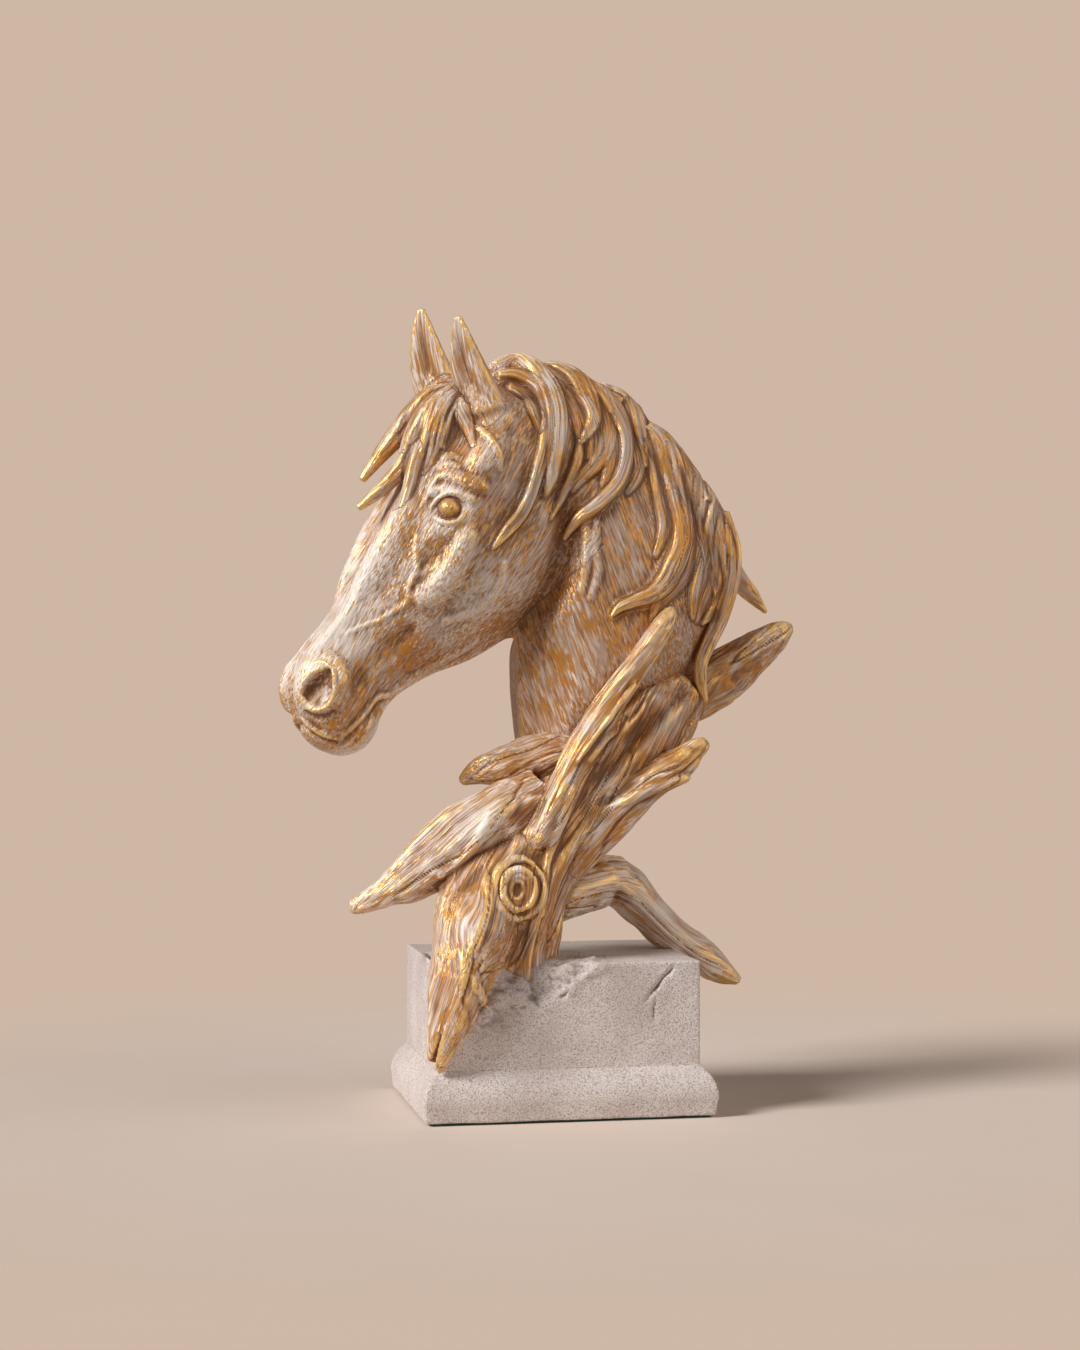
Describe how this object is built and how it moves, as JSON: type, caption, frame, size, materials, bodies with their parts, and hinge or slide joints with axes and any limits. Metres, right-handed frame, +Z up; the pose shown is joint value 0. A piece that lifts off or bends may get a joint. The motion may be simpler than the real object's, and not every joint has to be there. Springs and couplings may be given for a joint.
{
  "type": "horse bust sculpture",
  "caption": "Horse-head bust rising from branching driftwood on a moulded, speckled stone-effect plinth; a free-standing table ornament in gilded cast resin.",
  "frame": {"origin": "middle of the felt's underside, on the surface that the bust stands on", "axes": "+Z up; +X along the plinth's long side, to the right as seen from the front; the front is -Y and the horse looks to -X"},
  "size_m": [0.2636, 0.1252, 0.4],
  "materials": {
    "gilded_resin": "taupe wash over relief, with satin gold dry-brushed on the ridges",
    "stone_resin": "matt pale stone with fine grey and pink specks",
    "felt": "dark green felt",
    "steel": "plain zinc-plated steel, hidden inside"
  },
  "bodies": {
    "root": {"felt_pad": "felt", "plinth": "stone_resin", "stud": "steel", "stud_washer": "steel", "stud_nut": "steel", "branch_dowels": "steel", "neck_dowel": "steel", "trunk": "gilded_resin", "front_root": "gilded_resin", "arch_root": "gilded_resin", "left_low_branch": "gilded_resin", "left_high_branch": "gilded_resin", "neck_branch": "gilded_resin", "right_mid_branch": "gilded_resin", "right_high_branch": "gilded_resin", "horse_bust": "gilded_resin", "near_ear": "gilded_resin", "far_ear": "gilded_resin", "forelock": "gilded_resin", "mane_tail_lock": "gilded_resin", "mane_far_lock": "gilded_resin"}
  },
  "joints": []
}
